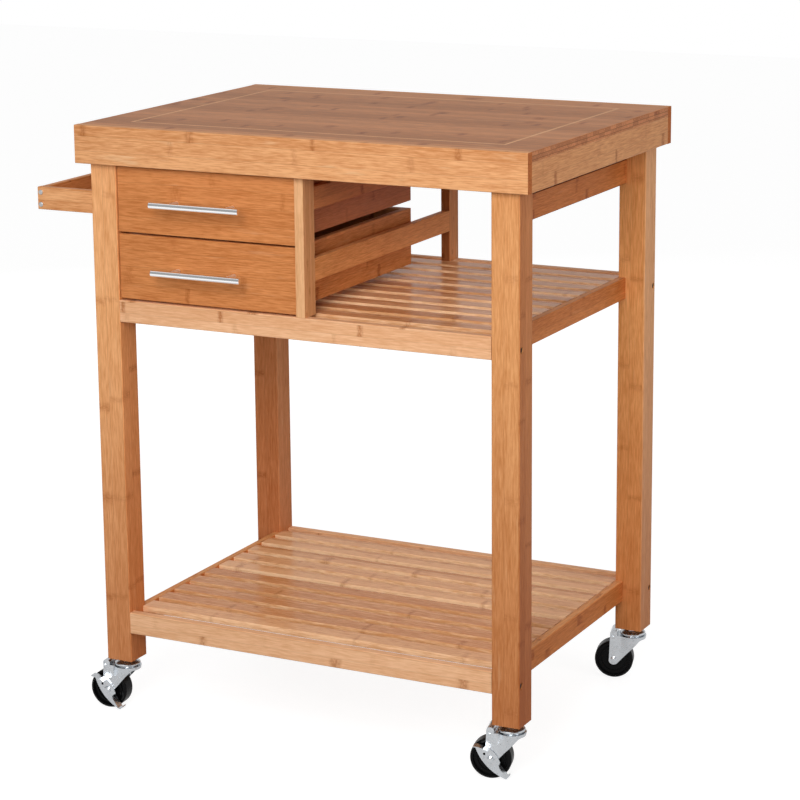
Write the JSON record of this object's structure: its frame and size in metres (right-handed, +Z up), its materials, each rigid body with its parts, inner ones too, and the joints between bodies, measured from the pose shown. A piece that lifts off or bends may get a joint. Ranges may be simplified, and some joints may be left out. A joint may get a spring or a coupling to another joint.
{
  "type": "rolling utility cart",
  "caption": "Bamboo kitchen cart with a thick worktop, drawers beside an open bay, slatted shelves, a side towel rack and swivel casters",
  "frame": {"origin": "on the floor, below the centre of the cart's overall box, towel rack and drawer handles included", "axes": "+X to the right along the worktop's length, the towel rack on -X; +Y to the back, the drawers open towards -Y; +Z up"},
  "size_m": [0.844, 0.566, 0.927],
  "materials": {
    "bamboo": "satin lacquered laminated bamboo",
    "pale_bamboo": "satin pale bamboo strip",
    "drawer_plywood": "plain thin plywood",
    "brushed_steel": "brushed",
    "zinc_screws": "bright zinc plated",
    "bright_zinc": "bright zinc plated pressed steel",
    "black_wheel": "hard black moulded tread and hub"
  },
  "bodies": {
    "cart_frame": {"worktop_panel": "bamboo", "front_edge_board": "bamboo", "back_edge_board": "bamboo", "side_boards": "bamboo", "support_strips": "bamboo", "top_rails": "bamboo", "left_drawer_rail": "bamboo", "divider_front_post": "bamboo", "divider_back_post": "bamboo", "divider_top_rail": "bamboo", "divider_mid_rail": "bamboo", "drawer_runners": "bamboo", "towel_rack_arms": "bamboo", "towel_rack_bar": "bamboo", "middle_shelf_slats": "bamboo", "middle_shelf_front_rail": "bamboo", "middle_shelf_back_rail": "bamboo", "middle_shelf_left_rail": "bamboo", "middle_shelf_right_rail": "bamboo", "lower_shelf_slats": "bamboo", "lower_shelf_front_rail": "bamboo", "lower_shelf_back_rail": "bamboo", "lower_shelf_left_rail": "bamboo", "lower_shelf_right_rail": "bamboo", "front_left_leg": "bamboo", "front_right_leg": "bamboo", "back_left_leg": "bamboo", "back_right_leg": "bamboo", "worktop_inlay": "pale_bamboo", "towel_rack_screws": "zinc_screws", "frame_bolts": "zinc_screws", "barrel_nuts": "zinc_screws", "assembly_screws": "zinc_screws", "caster_stems": "bright_zinc"},
    "upper_drawer": {"upper_drawer_front": "bamboo", "upper_drawer_sides": "bamboo", "upper_drawer_back": "bamboo", "upper_drawer_bottom": "drawer_plywood", "upper_drawer_handle": "brushed_steel", "upper_handle_screws": "zinc_screws"},
    "lower_drawer": {"lower_drawer_front": "bamboo", "lower_drawer_sides": "bamboo", "lower_drawer_back": "bamboo", "lower_drawer_bottom": "drawer_plywood", "lower_drawer_handle": "brushed_steel", "lower_handle_screws": "zinc_screws"},
    "front_left_swivel": {"front_left_fork": "bright_zinc", "front_left_axle": "bright_zinc"},
    "front_left_roller": {"front_left_wheel": "black_wheel"},
    "front_left_lever": {"front_left_brake": "bright_zinc"},
    "front_right_swivel": {"front_right_fork": "bright_zinc", "front_right_axle": "bright_zinc"},
    "front_right_roller": {"front_right_wheel": "black_wheel"},
    "front_right_lever": {"front_right_brake": "bright_zinc"},
    "back_left_swivel": {"back_left_fork": "bright_zinc", "back_left_axle": "bright_zinc"},
    "back_left_roller": {"back_left_wheel": "black_wheel"},
    "back_right_swivel": {"back_right_fork": "bright_zinc", "back_right_axle": "bright_zinc"},
    "back_right_roller": {"back_right_wheel": "black_wheel"}
  },
  "joints": [
    {"name": "upper_drawer_slide", "type": "slide", "parent": "cart_frame", "child": "upper_drawer", "axis": [0, -1, 0], "range_m": [0, 0.28]},
    {"name": "lower_drawer_slide", "type": "slide", "parent": "cart_frame", "child": "lower_drawer", "axis": [0, -1, 0], "range_m": [0, 0.28]},
    {"name": "front_left_caster_swivel", "type": "hinge", "parent": "cart_frame", "child": "front_left_swivel", "pos_m": [-0.28, -0.227, 0.0733], "axis": [0, 0, 1], "continuous": true},
    {"name": "front_left_wheel_spin", "type": "hinge", "parent": "front_left_swivel", "child": "front_left_roller", "pos_m": [-0.30889, -0.22953, 0.031], "axis": [-0.0872, 0.9962, 0], "continuous": true},
    {"name": "front_left_brake_hinge", "type": "hinge", "parent": "front_left_swivel", "child": "front_left_lever", "pos_m": [-0.30889, -0.22953, 0.031], "axis": [0.0872, -0.9962, 0], "range_deg": [0, 22]},
    {"name": "front_right_caster_swivel", "type": "hinge", "parent": "cart_frame", "child": "front_right_swivel", "pos_m": [0.382, -0.227, 0.0733], "axis": [0, 0, 1], "continuous": true},
    {"name": "front_right_wheel_spin", "type": "hinge", "parent": "front_right_swivel", "child": "front_right_roller", "pos_m": [0.35386, -0.23402, 0.031], "axis": [-0.2419, 0.9703, 0], "continuous": true},
    {"name": "front_right_brake_hinge", "type": "hinge", "parent": "front_right_swivel", "child": "front_right_lever", "pos_m": [0.35386, -0.23402, 0.031], "axis": [0.2419, -0.9703, 0], "range_deg": [0, 22]},
    {"name": "back_left_caster_swivel", "type": "hinge", "parent": "cart_frame", "child": "back_left_swivel", "pos_m": [-0.28, 0.247, 0.0733], "axis": [0, 0, 1], "continuous": true},
    {"name": "back_left_wheel_spin", "type": "hinge", "parent": "back_left_swivel", "child": "back_left_roller", "pos_m": [-0.30725, 0.23708, 0.031], "axis": [-0.342, 0.9397, 0], "continuous": true},
    {"name": "back_right_caster_swivel", "type": "hinge", "parent": "cart_frame", "child": "back_right_swivel", "pos_m": [0.382, 0.247, 0.0733], "axis": [0, 0, 1], "continuous": true},
    {"name": "back_right_wheel_spin", "type": "hinge", "parent": "back_right_swivel", "child": "back_right_roller", "pos_m": [0.35412, 0.23901, 0.031], "axis": [-0.2756, 0.9613, 0], "continuous": true}
  ]
}
